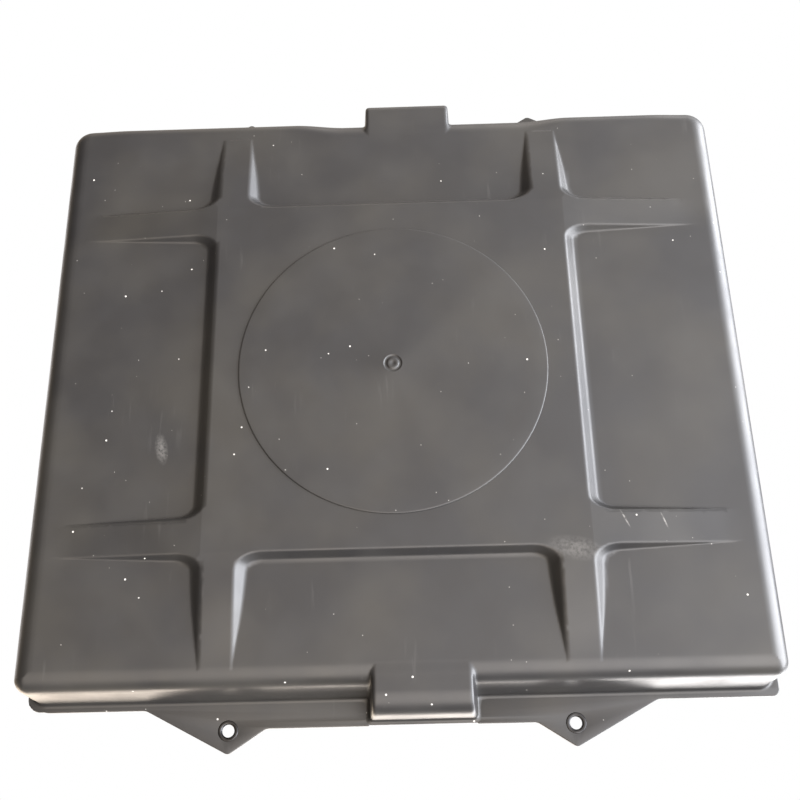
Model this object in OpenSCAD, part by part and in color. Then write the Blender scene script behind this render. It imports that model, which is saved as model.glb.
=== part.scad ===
// Shallow livestock water trough: a moulded pan with a low float valve under a lift-off steel guard.
// X runs along the longer wall, Y from the front wall to the inlet wall, Z up from the ground.

/* [Pan] */
// Width of the pan over its side walls
pan_w = 511; // [471:5:541]
// Depth of the pan over its front and rear walls
pan_d = 440; // [430:2:450]
// Height of the rim's upper face above the ground
pan_h = 61; // [58:1:70]
// Thickness of every moulded wall
wall_t = 3; // [2.5:0.5:3]
// Radius of the pan's upright corners
corner_r = 16; // [15:1:24]
// Radius that rolls the walls into the base
edge_r = 13; // [10:1:14]

/* [Base relief] */
// Height of the base panel above the plateau face
relief_h = 7; // [5:1:8]
// Extra height of the round pad below the plateau
disc_h = 1; // [0.5:0.5:1.5]
// Radius of the round pad
disc_r = 111; // [80:1:120]
// Half width of the square plateau
plateau_x = 132; // [124:1:140]
// Half depth of the square plateau
plateau_y = 135; // [126:1:142]
// Width of each of the eight tapering ribs
rib_w = 23; // [18:1:30]
// Distance from the centre to the tips of the side ribs
rib_tip_x = 228; // [190:1:232]
// Distance from the centre to the tips of the front and rear ribs
rib_tip_y = 200; // [175:1:202]
// Shift of the walls and base towards the inlet wall, inside the rim
base_shift = 4; // [2:1:5]

/* [Channels] */
// Outside width of the two upright channels
channel_w = 66; // [64:1:74]
// Distance that a channel stands out past the rim's edge
channel_out = 10; // [9:0.5:11]
// Sideways place of both channels
channel_x = -15; // [-40:1:40]

/* [Rim] */
// Thickness of the rim
rim_t = 3; // [3:0.5:4]
// Width of the rim outside the side walls
rim_side = 4.5; // [3.5:0.5:8]
// Width of the rim outside the front wall
rim_front = 11.5; // [10:0.5:12.5]
// Width of the shelf between two ears, past the rim's edge
shelf_out = 13.5; // [12.5:0.5:15]
// Distance of each ear hole from the middle
ear_x = 119; // [112:1:130]
// Distance from the rim's edge to an ear hole
ear_hole_out = 14.5; // [13:0.5:16]
// Distance from the rim's edge to an ear's tip
ear_tip_out = 29.5; // [28:0.5:32]
// Bore of an ear eyelet, for an M8 bolt
bolt_d = 8.5; // [7:0.5:8.5]

/* [Float valve] */
// Height of the inlet's axis above the ground
inlet_z = 40; // [40:0.5:41]
// Outside diameter of the inlet's thread
shank_d = 16.6; // [16:0.1:17]
// Diameter of the nozzle that the plunger closes
nozzle_d = 4; // [2:0.5:5]
// Height of the arm's pivot above the ground
pivot_z = 31; // [31:0.5:31.5]
// Droop of the float arm when the trough is empty
arm_droop = 6; // [4:0.5:6]
// Distance from the pivot to the float
float_start = 66; // [64:1:80]
// Length of the float
float_len = 70; // [50:2:76]
// Width of the float
float_w = 44; // [36:2:46]
// Height of the float
float_h = 22; // [18:1:22]

/* [Guard] */
// Thickness of the guard's sheet
sheet_t = 2; // [1.5:0.5:2.5]
// Sideways play between guard and channel
guard_play = 1; // [0.5:0.25:1.5]
// Height of the skirts' lower edge above the ground
skirt_z = 17; // [15:1:22]
// Number of water slots in each skirt
slot_count = 5; // [3:1:6]

/* [Hidden] */
$fn = 64;
eps = 0.5;

// Levels of the pan
plateau_z = disc_h;
panel_z = plateau_z + relief_h;
floor_z = panel_z + wall_t;
rim_z = pan_h - rim_t;
slope_lean = 0.93;
slope_run = relief_h * slope_lean;
channel_roll = 8;
gate_r = 4.5;
gate_ring_w = 2;
gate_depth = 0.5;

// Plan places of the rim and channels
rim_y = pan_d / 2 - base_shift + rim_front;
rim_corner_r = 10;
channel_y = rim_y + channel_out;
channel_start = pan_d / 2 - base_shift - edge_r - 3;
ear_y = rim_y + ear_hole_out;
ear_tip_r = 4;
inner_lean = 32.6;
outer_lean = 27.5;
ear_root = 2;
eyelet_wall = 0.75;
eyelet_flange_r = bolt_d / 2 + 2.75;
flange_sink = 0.8;

// Places along the inlet's axis, measured from the middle of the pan
shank_r = shank_d / 2;
washer_t = 2;
seal_face_y = channel_y - wall_t;
body_face_y = seal_face_y - washer_t;
flange_t = 3;
barrel_r = 12;
barrel_end_y = channel_y - 34.5;
seat_y = channel_y - 24.5;
seat_len = 6;
ring_len = 1.5;
bore_r = 6;
chamber_r = 6.5;
flange_r = 15;
washer_r = 14;
nut_y = channel_y + washer_t;
nut_len = 5.5;
nut_flat = 24;
collar_len = 1.5;
groove_len = 0.8;
groove_depth = 0.9;
thread_y = nut_y + nut_len + groove_len;
thread_len = 6.7;
shank_end = thread_y + thread_len;
outlet_r = 2.5;

// Float arm and what it pushes
pivot_y = channel_y - 41.5;
pin_r = 2;
cheek_t = 3;
cheek_gap = 6.2;
cheek_r = 6;
hub_w = 5.5;
hub_r = 5;
rod_r = 2.5;
fit = 0.05;
float_skin = 1.8;
float_corner_r = 10;
lever = inlet_z - pivot_z;
open_gap = 2.1;
seal_t = 2;
nose_y = pivot_y + 4.3;
screw_r = 2;

// Guard
guard_w = channel_w - 2 * wall_t - 2 * guard_play;
guard_end_y = seal_face_y - 1;
slot_margin = 35.5;
slot_pitch = 2 * (guard_end_y - slot_margin) / slot_count;
guard_top = pan_h;
lift_gap = 0.3;
bend_r = 4;
foot_len = 14;
foot_in = 13;
slot_h = 14;
slot_share = 0.62;
slot_drop = 2;
finger_y = -60;
finger_len = 70;
finger_w = 24;

module mirrored(v) {
    children();
    mirror(v) children();
}

// A run of the Y axis as a round bar, between two places along it
module bar_y(r, from, to) {
    translate([0, to, 0]) rotate([90, 0, 0]) cylinder(r = r, h = to - from);
}

module bar_x(r, length) {
    rotate([0, 90, 0]) cylinder(r = r, h = length, center = true);
}

module hex_y(flat, from, to) {
    translate([0, to, 0]) rotate([90, 30, 0]) cylinder(d = flat / cos(30), h = to - from, $fn = 6);
}

// A flat plate with rounded upright corners, made of straight bars and round posts
module rounded_plate(w, d, r, h) {
    linear_extrude(h) {
        square([w - 2 * r, d], center = true);
        square([w, d - 2 * r], center = true);
        for (x = [-1, 1], y = [-1, 1])
            translate([x * (w / 2 - r), y * (d / 2 - r)]) circle(r);
    }
}

// The pan's block with rolled lower edges, as large as the outside less an inset
module pan_block(inset, low, high) {
    plan_r = corner_r - inset;
    roll_r = edge_r - inset;
    hull()
        for (x = [-1, 1], y = [-1, 1])
            translate([x * (pan_w / 2 - corner_r), y * (pan_d / 2 - corner_r), low + roll_r]) {
                rotate_extrude($fn = 32) intersection() {
                    translate([plan_r - roll_r, 0]) circle(roll_r, $fn = 32);
                    translate([0, -roll_r]) square([plan_r, roll_r]);
                }
                cylinder(r = plan_r, h = high - low - roll_r, $fn = 32);
            }
}

// One tapering rib: full depth at the plateau, running out level with the panel at its tip
module rib(length) {
    half = rib_w / 2;
    foot = half + slope_run;
    top = panel_z + eps;
    polyhedron(
        points = [
            [0, -foot, top], [length, -half, top], [length, half, top], [0, foot, top],
            [0, -foot, panel_z], [length, -half, panel_z], [length, half, panel_z], [0, foot, panel_z],
            [0, -half, plateau_z], [0, half, plateau_z]
        ],
        faces = [
            [3, 2, 1, 0], [0, 1, 5, 4], [1, 2, 6, 5], [2, 3, 7, 6],
            [4, 5, 8], [6, 7, 9], [5, 6, 9, 8], [0, 4, 8, 9, 7, 3]
        ]);
}

// Square plateau with sloping sides
module plateau() {
    foot_x = plateau_x + slope_run;
    foot_y = plateau_y + slope_run;
    hull() {
        translate([-plateau_x, -plateau_y, plateau_z]) cube([2 * plateau_x, 2 * plateau_y, 0.01]);
        translate([-foot_x, -foot_y, panel_z]) cube([2 * foot_x, 2 * foot_y, eps]);
    }
}

// The hash-shaped relief: a plateau and two ribs out of each of its corners
module relief() {
    translate([0, base_shift, 0]) {
        plateau();
        for (side = [0, 180]) rotate([0, 0, side]) {
            for (y = [-1, 1])
                translate([plateau_x - 2, y * (plateau_y - rib_w / 2), 0]) rib(rib_tip_x - plateau_x + 2);
            for (x = [-1, 1])
                translate([x * (plateau_x - rib_w / 2), plateau_y - 2, 0])
                    rotate([0, 0, 90]) rib(rib_tip_y - plateau_y + 2);
        }
    }
}

// Upright channel that stands out of the rear wall, with a rolled lower edge
module channel(half_w, reach, low, roll_r) {
    length = reach - channel_start;
    translate([channel_x, 0, 0]) {
        translate([-half_w, channel_start, low + roll_r]) cube([2 * half_w, length, pan_h - low - roll_r]);
        translate([-half_w, channel_start, low]) cube([2 * half_w, length - roll_r, roll_r + eps]);
        translate([0, reach - roll_r, low + roll_r]) bar_x(roll_r, 2 * half_w);
    }
}

module both_channels(half_w, reach, low, roll_r) {
    mirrored([0, 1, 0]) channel(half_w, reach, low, roll_r);
}

// Sideways reach of an ear's leaning side while it drops from the tip
function ear_reach(drop, lean) =
    ear_tip_r * sin(lean) + (drop - ear_tip_r * (1 - cos(lean))) / tan(lean);

// One ear: a triangle whose tip is rounded by a circle that its sides touch
module ear_plate() {
    inner_run = ear_reach(ear_tip_out - shelf_out, inner_lean);
    outer_run = ear_reach(ear_tip_out, outer_lean);
    tip_middle = ear_tip_out - ear_tip_r;
    translate([ear_x, rim_y, rim_z]) linear_extrude(rim_t) {
        translate([0, tip_middle]) circle(ear_tip_r);
        polygon([
            [-inner_run, -ear_root], [-inner_run, shelf_out],
            [-ear_tip_r * sin(inner_lean), tip_middle + ear_tip_r * cos(inner_lean)],
            [ear_tip_r * sin(outer_lean), tip_middle + ear_tip_r * cos(outer_lean)],
            [outer_run, 0], [outer_run, -ear_root]
        ]);
    }
}

module rim() {
    shelf_y = rim_y + shelf_out;
    translate([0, 0, rim_z]) rounded_plate(pan_w + 2 * rim_side, 2 * rim_y, rim_corner_r, rim_t);
    translate([-ear_x, -shelf_y, rim_z]) cube([2 * ear_x, 2 * shelf_y, rim_t]);
    mirrored([0, 1, 0]) mirrored([1, 0, 0]) ear_plate();
}

module trough_pan() color([0.05, 0.05, 0.055]) difference() {
    union() {
        translate([0, base_shift, 0]) pan_block(0, panel_z, pan_h);
        relief();
        translate([0, base_shift, 0]) cylinder(r = disc_r, h = disc_h + eps, $fn = 128);
        both_channels(channel_w / 2, channel_y, panel_z, channel_roll);
        rim();
    }
    translate([0, base_shift, 0]) pan_block(wall_t, floor_z, pan_h + 5);
    translate([0, 0, wall_t]) relief();
    both_channels(channel_w / 2 - wall_t, channel_y - wall_t, floor_z, channel_roll - wall_t);
    translate([channel_x - channel_w / 2 + wall_t, -channel_y + wall_t, rim_z])
        cube([channel_w - 2 * wall_t, 2 * channel_y - 2 * wall_t, 10]);
    for (x = [-1, 1], y = [-1, 1])
        translate([x * ear_x, y * ear_y, 0]) {
            translate([0, 0, rim_z - 1]) cylinder(r = bolt_d / 2 + eyelet_wall, h = rim_t + 2);
            translate([0, 0, rim_z - 1]) cylinder(r = eyelet_flange_r, h = flange_sink + 1);
            translate([0, 0, pan_h - flange_sink]) cylinder(r = eyelet_flange_r, h = flange_sink + 1);
        }
    translate([channel_x, 0, inlet_z]) bar_y(shank_r + 0.2, seal_face_y - 1, channel_y + 1);
    // Ring left by the moulding gate in the middle of the pad
    translate([0, base_shift, -1]) difference() {
        cylinder(r = gate_r + gate_ring_w, h = 1 + gate_depth);
        cylinder(r = gate_r, h = 2);
    }
}

// Rolled eyelets that line the four ear holes, sunk flush with both faces of the rim
module ear_eyelets() color([0.16, 0.16, 0.17])
    for (x = [-1, 1], y = [-1, 1])
        translate([x * ear_x, y * ear_y, rim_z]) rotate_extrude() {
            translate([bolt_d / 2, 0]) square([eyelet_wall, rim_t]);
            translate([bolt_d / 2, 0]) square([eyelet_flange_r - bolt_d / 2, flange_sink]);
            translate([bolt_d / 2, rim_t - flange_sink]) square([eyelet_flange_r - bolt_d / 2, flange_sink]);
        }

module at_inlet() {
    translate([channel_x, 0, inlet_z]) children();
}

module at_pivot() {
    translate([channel_x, pivot_y, pivot_z]) children();
}

module cheeks() {
    for (x = [-1, 1])
        translate([x * (cheek_gap + cheek_t / 2), 0, 0]) hull() {
            translate([-cheek_t / 2, barrel_end_y, -5]) cube([cheek_t, 2, 12]);
            translate([0, pivot_y, -lever]) bar_x(cheek_r, cheek_t, $fn = 32);
        }
}

module valve_body() color([0.86, 0.85, 0.8]) at_inlet() difference() {
    union() {
        bar_y(shank_r, body_face_y, nut_y + nut_len);
        bar_y(shank_r - groove_depth, body_face_y, shank_end - 1);
        bar_y(shank_r, thread_y, shank_end);
        bar_y(flange_r, body_face_y - flange_t, body_face_y);
        bar_y(barrel_r, barrel_end_y, body_face_y);
        cheeks();
    }
    bar_y(bore_r, seat_y, shank_end + 1);
    bar_y(chamber_r, barrel_end_y - 10, seat_y);
    translate([0, pivot_y, -lever]) bar_x(pin_r, 30);
    // Outlet below the chamber
    translate([0, seat_y - 3, -barrel_r - 2]) cylinder(r = outlet_r, h = barrel_r + 2);
}

module inlet_filter() color([0.7, 0.7, 0.68]) at_inlet() difference() {
    union() {
        bar_y(bore_r - 0.1, shank_end - 2, shank_end - 0.5);
        bar_y(4.6, shank_end - 24, shank_end - 2);
    }
    bar_y(3.8, shank_end - 23, shank_end);
}

module washer(from) at_inlet() difference() {
    bar_y(washer_r, from, from + washer_t);
    bar_y(shank_r + fit, from - 1, from + washer_t + 1);
}

module inner_washer() color([0.1, 0.1, 0.1]) washer(body_face_y);

module outer_washer() color([0.1, 0.1, 0.1]) washer(channel_y);

module back_nut() color([0.86, 0.85, 0.8]) at_inlet() difference() {
    union() {
        hex_y(nut_flat, nut_y, nut_y + nut_len);
        bar_y(washer_r, nut_y, nut_y + collar_len);
    }
    bar_y(shank_r + fit, nut_y - 1, nut_y + nut_len + 1);
}

module valve_seat() color([0.78, 0.62, 0.3]) at_inlet() difference() {
    bar_y(bore_r, seat_y, seat_y + seat_len);
    bar_y(nozzle_d / 2, seat_y - 1, seat_y + seat_len + 1);
    bar_y(nozzle_d / 2 + 1.5, seat_y + 2, seat_y + seat_len + 1);
}

// Sealing ring behind the brass seat
module seat_ring() color([0.1, 0.1, 0.1]) at_inlet() difference() {
    bar_y(bore_r, seat_y + seat_len, seat_y + seat_len + ring_len);
    bar_y(bore_r - 2, seat_y, seat_y + seat_len + ring_len + 1);
}

module valve_plunger() color([0.86, 0.85, 0.8]) at_inlet() {
    bar_y(chamber_r - fit, barrel_end_y - 1, seat_y - open_gap - seal_t);
    bar_y(3, nose_y, barrel_end_y);
}

module plunger_seal() color([0.1, 0.1, 0.1]) at_inlet()
    bar_y(chamber_r - 0.3, seat_y - open_gap - seal_t, seat_y - open_gap);

module pivot_pin() color([0.75, 0.75, 0.76]) at_pivot() {
    bar_x(pin_r, 2 * (cheek_gap + cheek_t) + 5);
    translate([-cheek_gap - cheek_t - 2, 0, 0]) bar_x(3.5, 1.5);
}

module pin_clip() color([0.7, 0.7, 0.71]) at_pivot()
    translate([cheek_gap + cheek_t + 1, 0, 0]) difference() {
        bar_x(4.5, 0.8);
        bar_x(pin_r, 2);
        translate([-1, -1.2, -6]) cube([2, 2.4, 6]);
    }

// Everything on the arm's rod lies along the drooping line from the pivot
module along_arm() {
    at_pivot() rotate([arm_droop, 0, 0]) children();
}

module float_arm() color([0.86, 0.85, 0.8]) difference() {
    union() {
        at_pivot() bar_x(hub_r, 2 * hub_w);
        at_pivot() translate([-4, -3.8, 0]) cube([8, 4.8, lever + 5]);
        along_arm() bar_y(rod_r, -float_start - 12, -2);
        along_arm() bar_y(4.5, -14, -2);
    }
    at_pivot() bar_x(pin_r + fit, 20);
    at_pivot() translate([0, 0, lever]) bar_y(screw_r, -10, 5);
}

module adjust_screw() color([0.78, 0.62, 0.3]) at_pivot() translate([0, 0, lever]) {
    bar_y(screw_r, -14, 4);
    bar_y(4.2, -16.5, -13);
}

module adjust_nut() color([0.78, 0.62, 0.3]) at_pivot() translate([0, 0, lever]) difference() {
    hex_y(7, -7, -3.8);
    bar_y(screw_r, -8, 0);
}

module float_nut() color([0.78, 0.62, 0.3]) along_arm() difference() {
    hex_y(9, -float_start, -float_start + 4);
    bar_y(rod_r, -float_start - 1, -float_start + 5);
}

// Float as a closed box; its two halves meet on the rod's axis
module float_box() {
    middle = -float_start - float_len / 2;
    inner_h = float_h - 2 * float_skin;
    difference() {
        union() {
            difference() {
                translate([0, middle, -float_h / 2])
                    rounded_plate(float_w, float_len, float_corner_r, float_h);
                translate([0, middle, -inner_h / 2])
                    rounded_plate(float_w - 2 * float_skin, float_len - 2 * float_skin,
                        float_corner_r - float_skin, inner_h);
            }
            bar_y(5.5, -float_start - 15, -float_start - 0.5);
        }
        bar_y(rod_r, -float_start - 12, -float_start + 1);
    }
}

module float_half(low) {
    along_arm() intersection() {
        float_box();
        translate([-float_w, -float_start - float_len - 1, low ? -float_h : 0])
            cube([2 * float_w, float_len + 2, float_h]);
    }
}

module float_base() color([0.2, 0.36, 0.6]) float_half(true);

module float_lid() color([0.22, 0.4, 0.65]) float_half(false);

module slot_x(length, height, depth) {
    for (y = [-1, 1])
        translate([0, y * (length - height) / 2, 0]) bar_x(height / 2, depth, $fn = 32);
    cube([depth, length - height, height], center = true);
}

// Folded cover whose outside is drawn as a long bar with two rolled upper edges
module guard_bar(w, from, to, low, high, roll_r) {
    translate([-w / 2, from, low]) cube([w, to - from, high - low - roll_r]);
    translate([-w / 2 + roll_r, from, low]) cube([w - 2 * roll_r, to - from, high - low]);
    for (x = [-1, 1])
        translate([x * (w / 2 - roll_r), 0, high - roll_r]) bar_y(roll_r, from, to);
}

module valve_guard() color([0.62, 0.64, 0.66]) translate([channel_x, 0, 0]) {
    difference() {
        guard_bar(guard_w, -guard_end_y, guard_end_y, skirt_z, guard_top, bend_r);
        guard_bar(guard_w - 2 * sheet_t, -guard_end_y + sheet_t, guard_end_y + 1, skirt_z - 1,
            guard_top - sheet_t, bend_r - sheet_t);
        for (i = [0 : slot_count - 1])
            translate([0, (i - (slot_count - 1) / 2) * slot_pitch, (skirt_z + guard_top) / 2 - slot_drop])
                slot_x(slot_pitch * slot_share, slot_h, guard_w + 10);
        // Finger hole for lifting
        translate([0, finger_y, guard_top]) rotate([0, 90, 0]) slot_x(finger_len, finger_w, 20);
    }
    // Feet that stand on the channel floors, clear of the rolled corner
    for (x = [-1, 1], y = [-1, 1])
        translate([x * (guard_w - sheet_t) / 2 - sheet_t / 2, y * (guard_end_y - foot_in) - foot_len / 2,
            floor_z + lift_gap])
            cube([sheet_t, foot_len, skirt_z - floor_z]);
}

trough_pan();
ear_eyelets();
valve_body();
inlet_filter();
inner_washer();
outer_washer();
back_nut();
valve_seat();
seat_ring();
valve_plunger();
plunger_seal();
pivot_pin();
pin_clip();
float_arm();
adjust_screw();
adjust_nut();
float_nut();
float_base();
float_lid();
valve_guard();
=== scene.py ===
import math

import bmesh
import bpy
import numpy as np
from mathutils import Matrix, Vector


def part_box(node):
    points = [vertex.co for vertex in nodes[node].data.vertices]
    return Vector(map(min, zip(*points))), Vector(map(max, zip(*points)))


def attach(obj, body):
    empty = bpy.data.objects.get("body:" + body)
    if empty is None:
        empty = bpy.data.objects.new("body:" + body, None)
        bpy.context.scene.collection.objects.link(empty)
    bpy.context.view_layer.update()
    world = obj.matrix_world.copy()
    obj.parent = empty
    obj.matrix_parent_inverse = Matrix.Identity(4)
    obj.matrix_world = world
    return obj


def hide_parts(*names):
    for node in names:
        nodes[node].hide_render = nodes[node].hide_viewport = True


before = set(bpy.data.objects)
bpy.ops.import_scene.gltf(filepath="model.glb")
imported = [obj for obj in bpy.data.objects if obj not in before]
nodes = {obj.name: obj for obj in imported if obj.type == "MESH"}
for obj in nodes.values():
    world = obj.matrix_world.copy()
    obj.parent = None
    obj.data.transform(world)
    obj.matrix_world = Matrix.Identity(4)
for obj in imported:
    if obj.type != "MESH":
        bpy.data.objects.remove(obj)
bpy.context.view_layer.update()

mm = 0.001


def pieceBox(node):
    low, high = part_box(node)
    return low / mm, high / mm


# ---- shapes in millimetres, joined into Blender meshes in metres ----

def newPiece(name, vertices, faces, material, body="root", slot=None, stands=()):
    mesh = bpy.data.meshes.new(name)
    mesh.from_pydata([Vector(v) * mm for v in vertices], [], faces)
    mesh.validate()
    piece = bpy.data.objects.new(name, mesh)
    bpy.context.scene.collection.objects.link(piece)
    return dressPiece(piece, material, body, slot, stands)


def dressPiece(piece, material, body="root", slot=None, stands=()):
    piece.data.materials.clear()
    piece.data.materials.append(material)
    for polygon in piece.data.polygons:
        polygon.use_smooth = True
    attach(piece, body)
    if stands:
        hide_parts(*stands)
    return piece


def latheRings(profile, segments, centre, closed=True):
    # Turns a profile of (radius, height) about an upright axis; a radius of 0 closes to a point
    vertices, faces, rings = [], [], []
    for radius, height in profile:
        if radius < 1e-6:
            rings.append([len(vertices)])
            vertices.append((0, 0, height))
            continue
        rings.append(list(range(len(vertices), len(vertices) + segments)))
        for i in range(segments):
            turn = 2 * math.pi * i / segments
            vertices.append((radius * math.cos(turn), radius * math.sin(turn), height))
    pairs = list(zip(rings, rings[1:]))
    if closed and len(rings[0]) > 1 and len(rings[-1]) > 1:
        pairs.append((rings[-1], rings[0]))
    for low, high in pairs:
        for i in range(segments):
            j = (i + 1) % segments
            if len(low) == 1:
                faces.append((low[0], high[j], high[i]))
            elif len(high) == 1:
                faces.append((low[i], low[j], high[0]))
            else:
                faces.append((low[i], low[j], high[j], high[i]))
    shift = Vector((*centre, 0))
    return [Vector(v) + shift for v in vertices], faces


def filletPath(corners, steps=8):
    # corners is a closed list of (x, y, radius); each corner turns on its own arc
    points = []
    for i, (x, y, radius) in enumerate(corners):
        here = Vector((x, y))
        before = (Vector(corners[i - 1][:2]) - here).normalized()
        after = (Vector(corners[(i + 1) % len(corners)][:2]) - here).normalized()
        half = before.angle(after) / 2
        bisector = (before + after).normalized()
        centre = here + bisector * (radius / math.sin(half))
        start = here + before * (radius / math.tan(half)) - centre
        end = here + after * (radius / math.tan(half)) - centre
        sweep = start.angle_signed(end)
        for k in range(steps + 1):
            turn = Matrix.Rotation(-sweep * k / steps, 2)
            points.append(centre + turn @ start)
    return points


def platePiece(name, outlines, low, high, bevel, material, **ride):
    # A flat plate with bevelled edges; the first outline is its edge and the others are holes
    curve = bpy.data.curves.new(name, "CURVE")
    curve.dimensions = "2D"
    curve.fill_mode = "BOTH"
    curve.extrude = ((high - low) / 2 - bevel) * mm
    curve.bevel_depth = bevel * mm
    curve.bevel_resolution = 3
    curve.offset = -bevel * mm
    for outline in outlines:
        spline = curve.splines.new("POLY")
        spline.points.add(len(outline) - 1)
        for point, place in zip(spline.points, outline):
            point.co = (place[0] * mm, place[1] * mm, 0, 1)
        spline.use_cyclic_u = True
    carrier = bpy.data.objects.new(name + "Outline", curve)
    bpy.context.scene.collection.objects.link(carrier)
    bpy.context.view_layer.update()
    mesh = bpy.data.meshes.new_from_object(carrier.evaluated_get(bpy.context.evaluated_depsgraph_get()))
    bpy.data.objects.remove(carrier)
    mesh.transform(Matrix.Translation((0, 0, (low + high) / 2 * mm)))
    shape = bmesh.new()
    shape.from_mesh(mesh)
    bmesh.ops.remove_doubles(shape, verts=shape.verts, dist=0.01 * mm)
    shape.to_mesh(mesh)
    shape.free()
    mesh.name = name
    piece = bpy.data.objects.new(name, mesh)
    bpy.context.scene.collection.objects.link(piece)
    dressPiece(piece, material, **ride)
    mesh.set_sharp_from_angle(angle=math.radians(40))


# ---- smooth distance fields, for the moulded pan ----

def smoothMin(a, b, blend):
    share = np.clip(0.5 + 0.5 * (b - a) / blend, 0, 1)
    return b * (1 - share) + a * share - blend * share * (1 - share)


def smoothMax(a, b, blend):
    return -smoothMin(-a, -b, blend)


def planBox(x, y, halfX, halfY, radius):
    overX = np.abs(x) - halfX + radius
    overY = np.abs(y) - halfY + radius
    outside = np.hypot(np.maximum(overX, 0), np.maximum(overY, 0))
    return outside + np.minimum(np.maximum(overX, overY), 0) - radius


def gridLine(low, high, coarse, dense):
    # Steps along an axis: coarse, but finer inside each dense zone of (centre, half width, step)
    places = [low]
    while places[-1] < high:
        steps = [fine for centre, half, fine in dense if abs(places[-1] + fine / 2 - centre) <= half]
        places.append(places[-1] + min([coarse] + steps))
    return np.array(places)


def fieldSurface(field, lines):
    # One vertex in each cell that the surface crosses, and one face round each crossed grid edge
    x, y, z = lines
    values = np.stack([field(x[:, None], y[None, :], np.full((1, 1), level)) + np.zeros((len(x), len(y)))
                       for level in z], axis=2)
    inside = values < 0
    count = sum(inside[i:i - 1 or None, j:j - 1 or None, k:k - 1 or None].astype(np.int8)
                for i in (0, 1) for j in (0, 1) for k in (0, 1))
    cells = np.argwhere((count > 0) & (count < 8))
    number = np.full(count.shape, -1, np.int64)
    number[tuple(cells.T)] = np.arange(len(cells))
    total = np.zeros((len(cells), 3))
    hits = np.zeros(len(cells))
    for axis in range(3):
        others = [a for a in range(3) if a != axis]
        for first in (0, 1):
            for second in (0, 1):
                start = cells.copy()
                start[:, others[0]] += first
                start[:, others[1]] += second
                end = start.copy()
                end[:, axis] += 1
                a, b = values[tuple(start.T)], values[tuple(end.T)]
                crossed = (a < 0) != (b < 0)
                share = np.where(crossed, a / np.where(crossed, a - b, 1), 0)
                place = np.stack([lines[n][start[:, n]] for n in range(3)], axis=1)
                place[:, axis] += share * (lines[axis][end[:, axis]] - lines[axis][start[:, axis]])
                total += place * crossed[:, None]
                hits += crossed
    points = total / hits[:, None]
    faces = []
    for axis in range(3):
        b, c = (axis + 1) % 3, (axis + 2) % 3
        low = [slice(None)] * 3
        high = [slice(None)] * 3
        low[axis], high[axis] = slice(None, -1), slice(1, None)
        change = inside[tuple(low)].astype(np.int8) - inside[tuple(high)].astype(np.int8)
        edges = np.argwhere(change != 0)
        edges = edges[(edges[:, b] > 0) & (edges[:, c] > 0)
                      & (edges[:, b] < values.shape[b] - 1) & (edges[:, c] < values.shape[c] - 1)]
        around = []
        for backB, backC in ((1, 1), (0, 1), (0, 0), (1, 0)):
            cell = edges.copy()
            cell[:, b] -= backB
            cell[:, c] -= backC
            around.append(number[tuple(cell.T)])
        quads = np.stack(around, axis=1)
        flip = change[tuple(edges.T)] < 0
        quads[flip] = quads[flip][:, ::-1]
        faces.append(quads)
    return points, np.concatenate(faces)


def fieldSlope(field, points, reach=0.05):
    slope = np.zeros_like(points)
    for axis in range(3):
        step = np.zeros(3)
        step[axis] = reach
        ahead, behind = (points + step).T, (points - step).T
        slope[:, axis] = (field(*ahead) - field(*behind)) / (2 * reach)
    return slope


def settleOnField(field, points, rounds=4, longest=1.0):
    # Each vertex walks down the slope to the true surface
    for _ in range(rounds):
        slope = fieldSlope(field, points)
        size = np.maximum((slope ** 2).sum(1), 1e-6)
        step = -field(*points.T)[:, None] * slope / size[:, None]
        far = np.linalg.norm(step, axis=1, keepdims=True)
        points = points + step * np.minimum(1, longest / np.maximum(far, 1e-9))
    return points


# ---- materials ----

def linearColour(hexColour):
    channels = [int(hexColour[i:i + 2], 16) / 255 for i in (1, 3, 5)]
    return [c / 12.92 if c <= 0.04045 else ((c + 0.055) / 1.055) ** 2.4 for c in channels] + [1]


def addNode(tree, kind, settings=None, inputs=None, output=None):
    node = tree.nodes.new(kind)
    for key, value in (settings or {}).items():
        setattr(node, key, value)
    for key, value in (inputs or {}).items():
        if isinstance(value, bpy.types.NodeSocket):
            tree.links.new(value, node.inputs[key])
        else:
            node.inputs[key].default_value = value
    return node if output is None else node.outputs[output]


def startMaterial(name, shader):
    material = bpy.data.materials.new(name)
    material.use_nodes = True
    tree = material.node_tree
    tree.nodes.clear()
    surface = addNode(tree, "ShaderNodeBsdfPrincipled", inputs=shader)
    addNode(tree, "ShaderNodeOutputMaterial", inputs={"Surface": surface.outputs[0]})
    place = addNode(tree, "ShaderNodeTexCoord", output="Object")
    return material, tree, surface, place


# Polypropylene, injection moulded in black from a lightly spark-eroded tool: a soft satin sheen that
# mirrors bright walls at a glancing angle, with faint flow clouds, handling scuffs and pale dust
blackMoulded = {
    "colour": "#1f1f20", "flowColour": "#2a2927", "dustColour": "#c4c2bd", "scuffColour": "#5c5a57",
    "roughness": 0.31, "worn": 0.45, "ior": 1.49, "grainMm": 0.8, "peelMm": 5.0, "flowMm": 90,
    "scuffMm": 3.2, "patchMm": 60, "wearMm": 35, "gritMm": 2.0,
    # dust: cell width in mm, speck radius in mm, share of cells left bare, strength
    "dust": [(16.0, 0.85, 0.45, 0.9), (9.0, 0.4, 0.6, 0.5)],
    # scratches and one rubbed patch on the base: x, y, half length, half width, turn, strength
    "marks": [(-155, -114, 8, 0.7, 65, 0.35), (-182, -116, 7, 0.7, 70, 0.35), (165, -54, 13, 5, 80, 0.12),
              (-120, -134, 22, 9, 10, 0.07)],
}


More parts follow.
